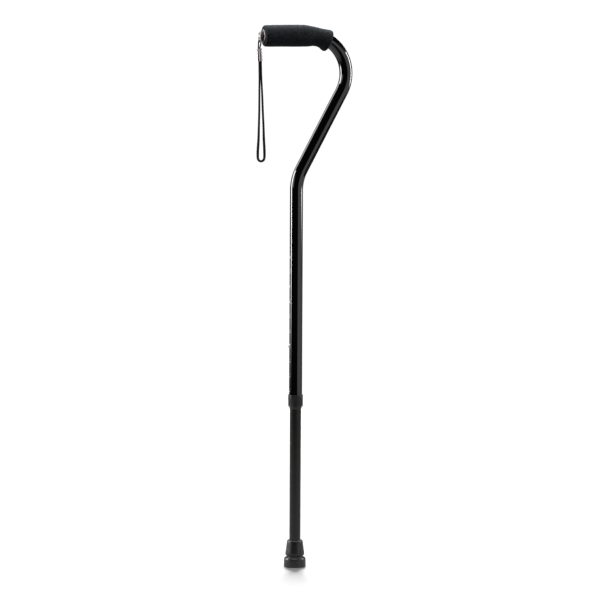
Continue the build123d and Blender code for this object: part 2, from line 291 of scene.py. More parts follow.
def foam_skin():
    """Closed-cell foam: a dull blue-black skin of fine bubbles, with painted shade in the bubble pits
    and between the pebbles and painted highlights on the pebbles' tops.
    """
    material, tree, shader = new_material("foam_skin", Specular_IOR_Level=0.12)
    bubbles = cells(tree, 0.75)
    fine = grain(tree, 0.3, 4.0, 0.65)
    patch = grain(tree, 8.0, 4.0, 0.6)
    tone = mix(tree, patch, (0.027, 0.033, 0.039), (0.042, 0.051, 0.059))
    # painted shade: darker colour in the bubble pits, where the bump sinks
    pit_shade = ramp(tree, bubbles, (0.12, 1.0), (0.48, 0.0))
    colour = mix(tree, times(tree, pit_shade, 0.75), tone, (0.005, 0.0055, 0.006))
    pebble = grain(tree, 3.2, 2.0, 0.55)
    # painted highlight: paler, bluer colour on the pebbles' tops
    colour = mix(tree, ramp(tree, pebble, (0.52, 0.0), (0.68, 0.45)), colour, (0.09, 0.11, 0.128))
    # painted shade: darker colour in the hollows between the pebbles
    colour = mix(tree, ramp(tree, pebble, (0.32, 0.7), (0.46, 0.0)), colour, (0.006, 0.0068, 0.0076))
    drive(tree, shader, Base_Color=colour, Roughness=ramp(tree, fine, (0.3, 0.55), (0.7, 0.8)))
    bump(tree, shader, (pebble, 420.0), (bubbles, 90.0), (fine, 40.0))
    return material


def plated(name, colour, low, high):
    """Plated metal with fine scratches and some tarnish; 'worn' is 1 on pieces dulled all over."""
    material, tree, shader = new_material(name, Metallic=1.0)
    tarnish = grain(tree, 2.2, 5.0, 0.65)
    lines = grain(tree, 0.12, 3.0, 0.6, (1, 0.15, 1))
    dull = tuple(0.55 * c for c in colour)
    worn = marked(tree, "worn")
    patchy = ramp(tree, tarnish, (0.45, 0.0), (0.85, 1.0))
    tone = mix(tree, maths(tree, "MAXIMUM", patchy, worn), colour, dull)
    rough = plus(tree, ramp(tree, tarnish, (0.3, low), (0.7, high)),
                  times(tree, lines, 0.12))
    drive(tree, shader, Base_Color=tone, Roughness=rough)
    bump(tree, shader, (lines, 1.5), (grain(tree, 1.0, 3.0, 0.6), 3.0))
    return material


def braided_cord():
    """Black polyester braid with painted shade between its strands and paler crowns; its attribute is
    high on the crowns of the strands.
    """
    material, tree, shader = new_material("braided_cord", Specular_IOR_Level=0.3, Sheen_Weight=0.1,
                                          Sheen_Roughness=0.35, Sheen_Tint=(0.75, 0.68, 0.64, 1))
    crown_shading = marked(tree, "strand_shading")
    fibre = grain(tree, 0.12, 3.0, 0.6, (1, 1, 0.25))
    # painted shade: darker between the strands, paler on their crowns
    tone = mix(tree, crown_shading, (0.0015, 0.0013, 0.0012), (0.008, 0.007, 0.0065))
    colour = mix(tree, ramp(tree, fibre, (0.62, 0.0), (0.8, 0.6)), tone, (0.024, 0.021, 0.019))
    drive(tree, shader, Base_Color=colour, Roughness=ramp(tree, fibre, (0.3, 0.5), (0.7, 0.72)))
    bump(tree, shader, (fibre, 25.0))
    return material


FINISH = {
    "upper_tube_black": gloss_black(),
    "lower_tube_black": anodised_leg(),
    "nylon_grey": moulded("nylon_grey", (0.028, 0.025, 0.024), (0.05, 0.044, 0.041), 0.34, 0.46),
    "collar_plastic": moulded(
        "collar_plastic", (0.0024, 0.0026, 0.003), (0.0044, 0.0048, 0.0056), 0.22, 0.34),
    "plug_plastic": moulded(
        "plug_plastic", (0.005, 0.0048, 0.0048), (0.0085, 0.0082, 0.008), 0.22, 0.34),
    "tip_rubber": tip_rubber(),
    "grip_foam": foam_skin(),
    "nickel": plated("nickel", (0.56, 0.51, 0.5), 0.18, 0.3),
    "button_steel": plated("button_steel", (0.6, 0.59, 0.57), 0.16, 0.3),
    "spring_steel": plated("spring_steel", (0.42, 0.42, 0.44), 0.25, 0.4),
    "cord_black": braided_cord(),
}
DULL_METAL = ("strap_tab", "end_washer", "tab_screw")
NODE_SLOT = {part["node"]: part["material_slot"] for part in frame["record"]["subparts"]}


# --- mesh helpers ---
def clean(mesh):
    """Joins doubled points, drops empty faces and turns the normals outwards."""
    nearly_zero = 1e-8
    work = bmesh.new()
    work.from_mesh(mesh)
    bmesh.ops.remove_doubles(work, verts=work.verts, dist=nearly_zero)
    bmesh.ops.dissolve_degenerate(work, edges=work.edges, dist=nearly_zero)
    bmesh.ops.recalc_face_normals(work, faces=work.faces)
    work.to_mesh(mesh)
    work.free()


def new_mesh(name, verts, faces, unit=1.0):
    """A mesh from points given in a unit of this many metres."""
    mesh = bpy.data.meshes.new(name)
    mesh.from_pydata([tuple(unit * c for c in v) for v in verts], [], faces)
    return mesh


def finish_mesh(name, verts, faces, body, node, values=None, weighted=True):
    """A smooth mesh piece from points in millimetres, riding on its body in place of its CAD node."""
    mesh = new_mesh(name, verts, faces, MM)
    if node in DULL_METAL:
        values = {**(values or {}), "worn": [1.0] * len(verts)}
    for key, numbers in (values or {}).items():
        attribute = mesh.attributes.new(key, "FLOAT", "POINT")
        attribute.data.foreach_set("value", np.asarray(numbers, np.float32))
    clean(mesh)
    mesh.shade_smooth()
    piece = placed(name, mesh)
    if weighted:
        normals = piece.modifiers.new("normals", "WEIGHTED_NORMAL")
        normals.mode = "FACE_AREA"
        normals.weight = 60
    slot = NODE_SLOT[node]
    mesh.materials.append(FINISH[slot])
    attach(piece, body)
    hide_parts(node)
    return piece


def final_mesh(piece):
    """A piece's mesh with its modifiers applied, or a curve's."""
    bpy.context.view_layer.update()
    return bpy.data.meshes.new_from_object(piece.evaluated_get(bpy.context.evaluated_depsgraph_get()))


def curve_mesh(data):
    """The vertices in metres and the faces of a curve, which is then removed."""
    holder = placed(data.name, data)
    mesh = final_mesh(holder)
    points = [v.co.copy() for v in mesh.vertices]
    faces = [tuple(p.vertices) for p in mesh.polygons]
    bpy.data.objects.remove(holder)
    bpy.data.curves.remove(data)
    bpy.data.meshes.remove(mesh)
    return points, faces


def grid_faces(rows, columns, wrap=True, start=0):
    """Quads between neighbouring rows of points."""
    faces = []
    for i in range(rows - 1):
        for j in range(columns if wrap else columns - 1):
            k = (j + 1) % columns
            faces.append((start + i * columns + j, start + i * columns + k,
                          start + (i + 1) * columns + k, start + (i + 1) * columns + j))
    return faces


def capped_grid(rows, columns, start=0):
    """A tube of quads with a face across each end."""
    last = start + columns * (rows - 1)
    return [*grid_faces(rows, columns, start=start), tuple(range(start, start + columns)),
            tuple(range(last, last + columns))]


def soften(outline, steps=4):
    """An outline of (radius, height, cut) points; a corner with a cut is rounded that far from it."""
    made = []
    for k, (r, h, *cut) in enumerate(outline):
        if not cut or k in (0, len(outline) - 1):
            made.append((r, h))
            continue
        here, before, after = Vector((r, h)), Vector(outline[k - 1][:2]), Vector(outline[k + 1][:2])
        a = here + (before - here).normalized() * min(cut[0], (before - here).length * 0.49)
        b = here + (after - here).normalized() * min(cut[0], (after - here).length * 0.49)
        for i in range(steps + 1):
            t = i / steps
            point = a * (1 - t) ** 2 + here * 2 * t * (1 - t) + b * t**2
            made.append((point.x, point.y))
    return made


def lathe(outline, columns, radius_at=None, arc=(0.0, 360.0)):
    """Rings of points round the Z axis; radius_at(angle, radius, height) may shape them."""
    full = arc[1] - arc[0] >= 360
    rows = []
    for r, h in outline:
        for j in range(columns):
            turn = math.radians(arc[0] + (arc[1] - arc[0]) * j / (columns if full else columns - 1))
            radius = radius_at(turn, r, h) if radius_at else r
            rows.append((radius * math.cos(turn), radius * math.sin(turn), h))
    return rows


def to_handle(points):
    """Turned points laid over so that their axis is the handle's, with height as X."""
    return [(h, y, HANDLE_Z + x) for x, y, h in points]


def turned_piece(name, outline, body, node, columns=96, along_x=False, values=None, **shape):
    """A closed turned piece."""
    points = lathe(outline, columns, **shape)
    faces = grid_faces(len(outline), columns)
    if along_x:
        points = to_handle(points)
    return finish_mesh(name, points, faces, body, node, values)


# --- the tubes ---
PATCH = 7                # a hole's square patch reaches this many cells each way
RING = 96                # points round a tube
CELL_ANGLE = 2 * math.pi / RING
CELL = TUBE_R * CELL_ANGLE
# from a patch's border to the hole's rim: how far in, and how worn the coating is there
RIM_WEAR = [(0.35, 0.0), (0.65, 0.1), (0.85, 0.35), (0.95, 0.75), (1.0, 1.0)]
RIM_LIP = 0.12           # the wall of a hole stands this far inside its rim


def bent_spine():
    """The bent tube's centreline as (length so far, point, heading) stations, from the foot up."""
    runs = [("line", LOWER_CORNER_Z - LOWER_CUT - TUBE_FOOT_Z), ("arc", LOWER_BEND_R, SLANT),
            ("line", (HANDLE_Z - LOWER_CORNER_Z) / math.cos(SLANT) - LOWER_CUT - UPPER_CUT),
            ("arc", UPPER_BEND_R, -(math.pi / 2 + SLANT)), ("line", UPPER_BEND_X - TUBE_END_X)]
    x, z, heading = 0.0, TUBE_FOOT_Z, 0.0
    stations = [(x, z, heading)]
    for kind, size, *turn in runs:
        if kind == "line":
            steps = max(2, round(size / 6.0))
            for k in range(1, steps + 1):
                along = size * k / steps
                stations.append((x + along * math.sin(heading), z + along * math.cos(heading), heading))
        else:
            steps = max(4, round(abs(math.degrees(turn[0])) / 1.6))
            side = math.copysign(1.0, turn[0])
            cx, cz = x + side * size * math.cos(heading), z - side * size * math.sin(heading)
            for k in range(1, steps + 1):
                now = heading + turn[0] * k / steps
                stations.append((cx - side * size * math.cos(now), cz + side * size * math.sin(now),
                                 now))
        x, z, heading = stations[-1]
    return stations


def ring_points(station, radius):
    """Points round the tube at a station, the first on the +X side."""
    x, z, heading = station
    made = []
    for j in range(RING):
        turn = j * CELL_ANGLE
        out = radius * math.cos(turn)
        made.append((x + out * math.cos(heading), radius * math.sin(turn), z - out * math.sin(heading)))
    return made


def wall_point(radius, across, z):
    """A point of the straight tube's -X side, at a distance across the middle of that side."""
    turn = math.pi - math.asin(max(-1.0, min(1.0, across / radius)))
    return (radius * math.cos(turn), across, z)


def stitch(faces, a, b):
    """Quads between two loops of as many points."""
    for k in range(len(a)):
        n = (k + 1) % len(a)
        faces.append((a[k], a[n], b[n], b[k]))


def add_ring(verts, wear, points, amount):
    """Adds a loop of points with this much wear, and returns their places."""
    start = len(verts)
    verts.extend(points)
    wear.extend([amount] * (len(verts) - start))
    return list(range(start, len(verts)))


def drilled_shell(verts, faces, wear, stations, radius, holes):
    """One wall of a tube with a patch round each hole; returns each hole's rim and the end rings."""
    rings = [add_ring(verts, wear, ring_points(s, radius), 0.0) for s in stations]
    heights = [s[1] for s in stations]
    middle = RING // 2
    left, right, side = middle - PATCH, middle + PATCH, range(2 * PATCH)
    skip, rims = set(), []
    for hole in holes:
        mid_row = min(range(len(heights)), key=lambda i: abs(heights[i] - hole))
        low, high = mid_row - PATCH, mid_row + PATCH
        skip.update((i, j) for i in range(low, high) for j in range(left, right))
        border = [(low, left + k) for k in side] + [(low + k, right) for k in side]
        border += [(high, right - k) for k in side] + [(high - k, left) for k in side]
        outer = [rings[i][j] for i, j in border]
        flat = [verts[v][1:] for v in outer]
        previous = outer
        for share, amount in RIM_WEAR:
            points = []
            for y, z in flat:
                turn = math.atan2(z - hole, y)
                across = y + (HOLE_R * math.cos(turn) - y) * share
                up = z + (hole + HOLE_R * math.sin(turn) - z) * share
                points.append(wall_point(radius, across, up))
            ring = add_ring(verts, wear, points, amount)
            stitch(faces, previous, ring)
            previous = ring
        rims.append(previous)
    for i, (ring, above) in enumerate(zip(rings, rings[1:])):
        for j in range(RING):
            if (i, j) not in skip:
                k = (j + 1) % RING
                faces.append((ring[j], ring[k], above[k], above[j]))
    return rims, rings[0], rings[-1]


def tube_piece(name, stations, outer, bore, holes, body):
    """A tube with wall, end rims and drilled holes."""
    straight = [s for s in stations if s[2] == 0.0 and s[1] <= LOWER_CORNER_Z - LOWER_CUT + 0.01]
    rest = stations[len(straight):]
    heights = {round(straight[0][1], 3), round(straight[-1][1], 3)}
    for hole in holes:
        heights.update(round(hole + k * CELL, 3) for k in range(-PATCH, PATCH + 1))
    marks = sorted(heights)
    filled = []
    for a, b in zip(marks, marks[1:]):
        steps = max(1, math.ceil((b - a) / 5.0))
        filled.extend(a + (b - a) * k / steps for k in range(steps))
    filled.append(marks[-1])
    stations = [(0.0, z, 0.0) for z in filled] + rest
    verts, faces, wear = [], [], []
    rims, foot, top = drilled_shell(verts, faces, wear, stations, outer, holes)
    bore_rims, bore_foot, bore_top = drilled_shell(verts, faces, wear, stations, bore, holes)
    for rim, inner, hole in zip(rims, bore_rims, holes):
        previous, r = rim, HOLE_R - RIM_LIP
        for deeper, amount in ((0.15, 0.9), (0.6, 0.4)):
            points = []
            for k in rim:
                x, y, z = verts[k]
                turn = math.atan2(z - hole, y)
                points.append((x + deeper, r * math.cos(turn), hole + r * math.sin(turn)))
            ring = add_ring(verts, wear, points, amount)
            stitch(faces, previous, ring)
            previous = ring
        stitch(faces, previous, inner)
    for loop, inner, station in ((foot, bore_foot, stations[0]), (top, bore_top, stations[-1])):
        previous = loop
        for radius in (outer - 0.2, bore + 0.2):
            ring = add_ring(verts, wear, ring_points(station, radius), 0.8)
            stitch(faces, previous, ring)
            previous = ring
        stitch(faces, previous, inner)
    return finish_mesh(name, verts, faces, body, name.removesuffix("_piece"), {"wear": wear})


tube_piece("upper_tube_piece", bent_spine(), TUBE_R, TUBE_BORE_R, HOLES_Z, "upper")
tube_piece("lower_tube_piece", [(0.0, LEG_FOOT_Z, 0.0), (0.0, LEG_TOP_Z, 0.0)], LEG_R, LEG_BORE_R,
           [BUTTON_Z], "leg")


# --- the rubber tip ---
TIP_OUTLINE = [
    (0, 1.2), (3.6, 1.2, 0.4), (4.2, 0, 0.3), (5.5, 0, 0.3), (6.1, 1.6, 0.3), (7.6, 1.6, 0.3),
    (8.2, 0, 0.3), (10.9, 0, 0.3), (11.4, 1.6, 0.3), (13.1, 1.6, 0.3), (13.7, 0, 0.3), (18.5, 0, 0.6),
    (18.93, 0.9, 0.6), (18.72, 8.0, 3.0), (18.35, 14.3, 1.6), (17.1, 16.1, 0.9), (15.4, 16.3, 0.5),
    (14.3, 16.7, 0.5), (14.3, 19.3, 0.6), (15.5, 20.2, 0.5), (16.2, 21.2, 0.7), (16.05, 24.5, 1.0),
    (14.95, 33.0, 4.0), (13.65, 43.2, 1.5), (13.1, 45.2, 1.0), (11.8, 46.0, 0.9), (10.5, 45.8, 0.7),
    (9.62, 44.6, 0.6), (9.62, 12.5, 0.5), (9.0, 12.1), (0, 12.1)]
turned_piece("rubber_tip_piece", soften(TIP_OUTLINE), "leg", "rubber_tip", 144)


# --- the lock collar and its collet ---
def collar_piece():
    """The lock collar with its two top rings and its fine flutes, paler along their crests."""
    r, bore = 12.6, 11.16
    low, high, flute_low, flute_high = 275.7, 295.5, 276.9, 290.0
    flutes, depth, columns = 30, 0.3, 360
    outline = [(10.9, low + 0.25), (11.15, low, 0.2), (r - 0.35, low, 0.35), (r, low + 0.8, 0.4),
               (r, flute_low, 0.1)]
    outline += [(r, z) for z in np.linspace(flute_low + 0.4, flute_high - 0.4, 12)]
    outline += [(r, flute_high, 0.1), (r, 291.0, 0.3), (r - 0.55, 291.15, 0.1), (r - 0.55, 291.65, 0.1),
                (r, 291.8, 0.3), (r, 293.0, 0.3), (r - 0.55, 293.15, 0.1), (r - 0.55, 293.75, 0.1),
                (r, 293.9, 0.3), (r, high, 0.5), (bore, high, 0.3), (bore, 283.2), (10.9, low + 0.25)]
    outline = soften(outline)

    def shaped(turn, radius, z):
        ends = min(1.0, max(0.0, (z - flute_low) / 0.5)) * min(1.0, max(0.0, (flute_high - z) / 0.5))
        hollow = (0.5 - 0.5 * math.cos(flutes * turn)) ** 1.6
        return radius - depth * ends * hollow * (radius > r - 0.3)

    wear = []
    for radius, z in outline:
        for j in range(columns):
            crest = (0.5 + 0.5 * math.cos(flutes * 2 * math.pi * j / columns)) ** 6
            edge = 1.0 if z > 290.8 or z < low + 1.0 else 0.0
            wear.append((0.35 * crest + 0.55 * edge) * (radius > r - 0.2))
    turned_piece("lock_collar_piece", outline, "collar", "lock_collar", columns=columns,
                 radius_at=shaped, values={"wear": wear})


def collet_piece():
    """The split ring whose tapered lip shows under the collar."""
    gap = math.degrees(0.6 / LEG_R)
    outline = soften([(9.62, 271.6), (9.95, 271.5, 0.15), (10.72, 275.0, 0.3), (10.72, 275.65, 0.1),
                      (11.02, 282.3, 0.2), (9.62, 282.4, 0.2), (9.62, 271.6)])
    columns = 120
    points = lathe(outline, columns, arc=(gap, 360 - gap))
    faces = grid_faces(len(outline), columns, wrap=False)
    for j in (0, columns - 1):
        faces.append(tuple(i * columns + j for i in range(len(outline) - 1)))
    finish_mesh("collet_piece", points, faces, "collet", "collet")


collar_piece()
collet_piece()


# --- the snap button ---
def button_piece():
    """Domed button on a collared stem, lying along X."""
    outline = soften([(0, -13.7), (1.6, -13.55, 0.8), (2.9, -12.7, 0.8), (3.1, -12.0, 0.5), (3.1, -7.0),
                      (4.0, -7.0, 0.15), (4.0, -6.0, 0.15), (0, -6.0)])
    points = [(h, y, BUTTON_Z + x) for x, y, h in lathe(outline, 64)]
    finish_mesh("snap_button_piece", points, grid_faces(len(outline), 64), "button", "snap_button")


button_piece()


# --- the handle's end ---
turned_piece("end_washer_piece", soften([
    (8.1, -60.75, 0.1), (8.1, -60.8), (11.05, -60.8, 0.3), (11.4, -60.5, 0.25), (11.4, -59.95, 0.25),
    (11.1, -59.6, 0.25), (8.1, -59.6), (8.1, -60.75)]),
    "upper", "end_washer", 128, along_x=True)
turned_piece("end_plug_piece", soften([
    (0, -65.2), (4.5, -65.2, 0.4), (6.6, -64.4, 1.0), (8.4, -63.2, 1.2), (9.2, -61.7, 0.5),
    (9.1, -60.85, 0.2), (7.9, -60.8, 0.1), (7.9, -58.0), (9.8, -57.2, 0.2), (9.8, -56.3, 0.2),
    (7.9, -55.5), (7.9, -53.4), (9.8, -53.2, 0.2), (9.8, -52.3, 0.2), (7.9, -51.5), (7.9, -41.0, 0.8),
    (0, -41.0)]),
    "upper", "handle_end_plug", along_x=True)


# --- the foam grip ---
GRIP_START_X = -59.0
GRIP_BORE_R = 11.15
GRIP_END = Vector((56.0, 0, 893.3))
GRIP_END_TILT = math.radians(22.0)
GRIP_END_ROUNDING = 3.5
PEBBLE_HEIGHT, BROAD_HEIGHT, SKIN_INSET = 0.34, 0.12, 0.1
# place along the centreline from the grip's start, distance to the outside above and below
GRIP_PROFILE = [(-59.0, 14.9, 14.9), (-58.85, 15.9, 15.9), (-58.3, 16.9, 16.9), (-57.4, 17.6, 17.6),
                (-55.5, 18.15, 18.15), (-50.0, 18.25, 18.25), (-20.0, 18.3, 18.6), (5.0, 18.1, 19.0),
                (14.0, 17.75, 19.0)]
GRIP_BEND = [(1, 16.0, 18.5), (8, 14.8, 17.6), (15, 14.3, 17.4), (22, 15.6, 18.1), (28, 17.6, 19.5),
             (34, 17.9, 19.7), (42, 17.9, 19.7)]


def grip_frame(along):
    """Point and heading of the handle's centreline; along is X on the straight, then round the bend."""
    if along <= UPPER_BEND_X:
        return Vector((along, 0, HANDLE_Z)), 0.0
    turn = (along - UPPER_BEND_X) / UPPER_BEND_R
    return Vector((UPPER_BEND_X + UPPER_BEND_R * math.sin(turn), 0,
                   UPPER_BEND_Z + UPPER_BEND_R * math.cos(turn))), turn


def grip_ring(along, angles, radius, shift=0.0):
    """Points round the handle's centreline, raised by a shift."""
    point, turn = grip_frame(along)
    normal = np.array((math.sin(turn), 0, math.cos(turn)))
    return (np.array(point) + normal * shift + np.outer(np.cos(angles) * radius, normal)
            + np.outer(np.sin(angles) * radius, (0, 1, 0)))


def eased(table, where):
    """A smooth curve through the table's points (piecewise cubic with no overshoot)."""
    xs, ys = np.array(table, float).T
    steps, rises = np.diff(xs), np.diff(ys)
    slopes = rises / steps
    tangents = np.zeros(len(xs))
    for k in range(1, len(xs) - 1):
        if slopes[k - 1] * slopes[k] > 0:
            weight_a, weight_b = 2 * steps[k] + steps[k - 1], steps[k] + 2 * steps[k - 1]
            tangents[k] = (weight_a + weight_b) / (weight_a / slopes[k - 1] + weight_b / slopes[k])
    tangents[0], tangents[-1] = slopes[0], slopes[-1]
    k = np.clip(np.searchsorted(xs, where) - 1, 0, len(steps) - 1)
    t = (where - xs[k]) / steps[k]
    h = steps[k]
    return ((2 * t**3 - 3 * t**2 + 1) * ys[k] + (t**3 - 2 * t**2 + t) * h * tangents[k]
            + (-2 * t**3 + 3 * t**2) * ys[k + 1] + (t**3 - t**2) * h * tangents[k + 1])


def grip_piece():
    """Foam sleeve with a pebbled skin, a waist over the bend and a flared, slightly rounded end."""
    columns, spacing = 200, 0.55
    bend = [(UPPER_BEND_X + math.radians(d) * UPPER_BEND_R, a, b) for d, a, b in GRIP_BEND]
    table = GRIP_PROFILE + bend
    above, below = [(x, a) for x, a, b in table], [(x, b) for x, a, b in table]
    length = table[-1][0] - GRIP_START_X
    places = [-58.97, -58.95, -58.85, -58.6, -58.3, -57.9, -57.4, -56.9, -56.3]
    places += list(np.linspace(-55.7, table[-1][0], round(length / spacing)))
    angles = np.linspace(0, 2 * math.pi, columns, endpoint=False)
    rows = np.zeros((len(places), columns, 3))
    for i, along in enumerate(places):
        up, down = float(eased(above, along)), float(eased(below, along))
        rows[i] = grip_ring(along, angles, (up + down) / 2, (up - down) / 2)
    cut = np.array((math.cos(GRIP_END_TILT), 0, -math.sin(GRIP_END_TILT)))
    depth = (rows - np.array(GRIP_END)) @ cut + GRIP_END_ROUNDING
    first = int(np.searchsorted(places, UPPER_BEND_X + 8.0))
    for j in range(columns):
        last = int(np.argmax(depth[:, j] > 0))
        share = -depth[last - 1, j] / (depth[last, j] - depth[last - 1, j])
        stop = last - 1 + share
        wanted = first + (stop - first) * np.linspace(0, 1, len(places) - first)
        base = np.minimum(wanted.astype(int), len(places) - 2)
        part = (wanted - base)[:, None]
        rows[first:, j] = rows[base, j] * (1 - part) + rows[base + 1, j] * part
    end_middle = rows[-1].mean(axis=0)
    rounded_rows = []
    towards = end_middle - rows[-1]
    towards /= np.linalg.norm(towards, axis=1)[:, None]
    for turn in np.radians((11, 23, 35, 47, 59, 71, 82, 90)):
        inward, onward = GRIP_END_ROUNDING * (1 - math.cos(turn)), GRIP_END_ROUNDING * math.sin(turn)
        rounded_rows.append(rows[-1] + towards * inward + cut * onward)
    rounded_rows.append(rounded_rows[-1] + towards * 1.2)
    start_rows = [[(GRIP_START_X, r * math.sin(a), HANDLE_Z + r * math.cos(a)) for a in angles]
                  for r in (GRIP_BORE_R, 12.0, 13.2, 14.2)]
    bore_end = UPPER_BEND_X + math.radians(32.6) * UPPER_BEND_R
    bore_rows = [grip_ring(along, angles, GRIP_BORE_R)
                 for along in np.linspace(bore_end, GRIP_START_X, 48)]
    first_bore = bore_rows[0]
    bore_rows[0] = first_bore - np.outer((first_bore - np.array(GRIP_END)) @ cut, cut) / (cut @ cut)
    shell = np.concatenate([np.array(start_rows), rows, np.array(rounded_rows)])
    centres = shell.mean(axis=1, keepdims=True)
    normals = shell - centres
    normals /= np.maximum(np.linalg.norm(normals, axis=2)[..., None], 1e-9)
    flat = shell.reshape(-1, 3)
    lifts = np.zeros(len(flat))
    for k in range(len(start_rows) * columns, len(flat)):
        p = Vector(flat[k])
        pebble = noise.noise(p / 1.7) * 0.7 + noise.noise(p / 0.8 + Vector((9, 0, 0))) * 0.35
        broad = noise.noise(p / 9.0 + Vector((0, 31, 0)))
        lifts[k] = PEBBLE_HEIGHT * pebble + BROAD_HEIGHT * broad - SKIN_INSET
    flat = flat + normals.reshape(-1, 3) * lifts[:, None]
    verts = np.concatenate([flat, np.array(bore_rows[:-1]).reshape(-1, 3)])
    faces = grid_faces(len(verts) // columns, columns)
    stitch(faces, range(len(verts) - columns, len(verts)), range(columns))
    grip = finish_mesh("foam_grip_piece", verts, faces, "upper", "foam_grip", weighted=False)


grip_piece()


# --- the strap's tab and screw ---
TAB_X = -66.0
TAB_T = 1.4
TAB_BAR_Z = 894.6


def tab_outline():
    """The tab seen along X: a round top round the screw, straight sides and an open slot below."""
    half, slot, slot_top, foot, corner = 6.25, 3.7, 900.2, 893.95, 1.6
    points = [(half * math.sin(a), HANDLE_Z + half * math.cos(a))
              for a in np.linspace(-math.pi / 2, math.pi / 2, 33)]

    def turn(cy, cz, r, start, stop, steps=7):
        return [(cy + r * math.cos(a), cz + r * math.sin(a)) for a in np.linspace(start, stop, steps)]

    points += turn(half - corner, foot + corner, corner, 0, -math.pi / 2)
    points += turn(slot + 0.5, foot + 0.5, 0.5, -math.pi / 2, -math.pi, 5)
    points += turn(slot - 1.2, slot_top - 1.2, 1.2, 0, math.pi / 2)
    points += turn(-slot + 1.2, slot_top - 1.2, 1.2, math.pi / 2, math.pi)
    points += turn(-slot - 0.5, foot + 0.5, 0.5, 0, -math.pi / 2, 5)
    points += turn(-half + corner, foot + corner, corner, -math.pi / 2, -math.pi)
    return points


def flat_plate(outlines, thickness, edge):
    """Points and faces of a plate with rounded edges, cut to outlines of (Y, Z), lying across X."""
    data = bpy.data.curves.new("plate", "CURVE")
    data.dimensions = "2D"
    data.fill_mode = "BOTH"
    data.extrude = MM * (thickness / 2 - edge)
    data.bevel_depth = MM * edge
    data.bevel_resolution = 3
    data.offset = -MM * edge
    for outline in outlines:
        spline = data.splines.new("POLY")
        spline.points.add(len(outline) - 1)
        for point, (y, z) in zip(spline.points, outline):
            point.co = (MM * y, MM * (z - HANDLE_Z), 0.0, 1.0)
        spline.use_cyclic_u = True
    points, faces = curve_mesh(data)
    return [(p.z / MM, p.x / MM, p.y / MM + HANDLE_Z) for p in points], faces


def tab_piece():
    """The stamped plate with its screw hole, and the round bar across its slot."""
    hole_r, bar_r = 2.15, 0.7
    hole = [(hole_r * math.cos(a), HANDLE_Z + hole_r * math.sin(a))
            for a in np.linspace(0, 2 * math.pi, 40, endpoint=False)]
    points, faces = flat_plate([tab_outline(), hole], TAB_T, 0.28)
    points = [(TAB_X + x, y, z) for x, y, z in points]
    columns, start = 28, len(points)
    stations = np.linspace(-4.3, 4.3, 12)
    for y in stations:
        points += [(TAB_X + bar_r * math.cos(a), y, TAB_BAR_Z + bar_r * math.sin(a))
                   for a in np.linspace(0, 2 * math.pi, columns, endpoint=False)]
    faces += capped_grid(len(stations), columns, start)
    finish_mesh("strap_tab_piece", points, faces, "tab", "strap_tab")


def screw_piece():
    """Dome head with a cross recess cut by a boolean, and its shank."""
    head_x, head_h = -66.75, 1.7
    outline = soften([(0, -head_h), (1.3, -head_h + 0.1, 0.5), (2.9, -1.05, 0.8), (3.85, -0.25, 0.4),
                      (4.0, 0.0, 0.12), (2.0, 0.0, 0.1), (2.0, 20.0, 0.6), (0, 20.0)], 5)
    points = [(head_x + h, y, HANDLE_Z + x) for x, y, h in lathe(outline, 72)]
    screw = finish_mesh("tab_screw_piece", points, grid_faces(len(outline), 72), "upper", "tab_screw",
                        weighted=False)
    arm, reach, floor = 0.45, 1.8, 1.0
    shape = [(arm, reach), (-arm, reach), (-arm, arm), (-reach, arm), (-reach, -arm), (-arm, -arm),
             (-arm, -reach), (arm, -reach), (arm, -arm), (reach, -arm), (reach, arm), (arm, arm)]
    front = [(head_x - head_h - 1.0, y, HANDLE_Z + z) for y, z in shape]
    back = [(head_x - head_h + floor, 0.75 * y, HANDLE_Z + 0.75 * z) for y, z in shape]
    count = len(shape)
    walls = [(k, (k + 1) % count, count + (k + 1) % count, count + k) for k in range(count)]
    ends = [tuple(range(count)), tuple(range(2 * count - 1, count - 1, -1))]
    mesh = new_mesh("recess", front + back, walls + ends, MM)
    clean(mesh)
    cutter = placed("recess", mesh)
    cut = screw.modifiers.new("recess", "BOOLEAN")
    cut.object = cutter
    cut.solver = "EXACT"
    made = final_mesh(screw)
    screw.modifiers.clear()
    screw.data = made
    made.set_sharp_from_angle(angle=math.radians(35))
    bpy.data.objects.remove(cutter)


tab_piece()
screw_piece()


# --- cords ---
# The routes' points as X and Z in metres.
WRIST_ROUTE = [
    (-0.0667, 0.8665), (-0.0666, 0.852), (-0.06605, 0.832), (-0.0663, 0.808), (-0.06625, 0.78),
    (-0.0669, 0.752), (-0.0674, 0.73), (-0.06855, 0.7145), (-0.06875, 0.705), (-0.0685, 0.6976),
    (-0.0651, 0.6941), (-0.0603, 0.6941), (-0.0571, 0.6976), (-0.05685, 0.705), (-0.05705, 0.7145),
    (-0.0581, 0.73), (-0.0587, 0.752), (-0.0602, 0.78), (-0.0613, 0.808), (-0.0628, 0.832),
    (-0.0633, 0.852), (-0.0637, 0.8665)]
EYE_ROUTE = [
    (-0.06803, 0.8812), (-0.06837, 0.8853), (-0.0682, 0.8896), (-0.06805, 0.8926), (-0.06805, 0.8954),
    (-0.06685, 0.8966), (-0.06515, 0.8966), (-0.06395, 0.8954), (-0.06395, 0.8926), (-0.0643, 0.8896),
    (-0.06578, 0.8853), (-0.06544, 0.8812)]


CORD_SQUARENESS = 2 / 2.6        # power of the section's sine and cosine; 1 would be an ellipse
BRAID_MEAN = 0.6                 # the braid's height that lies on the cord's own outline


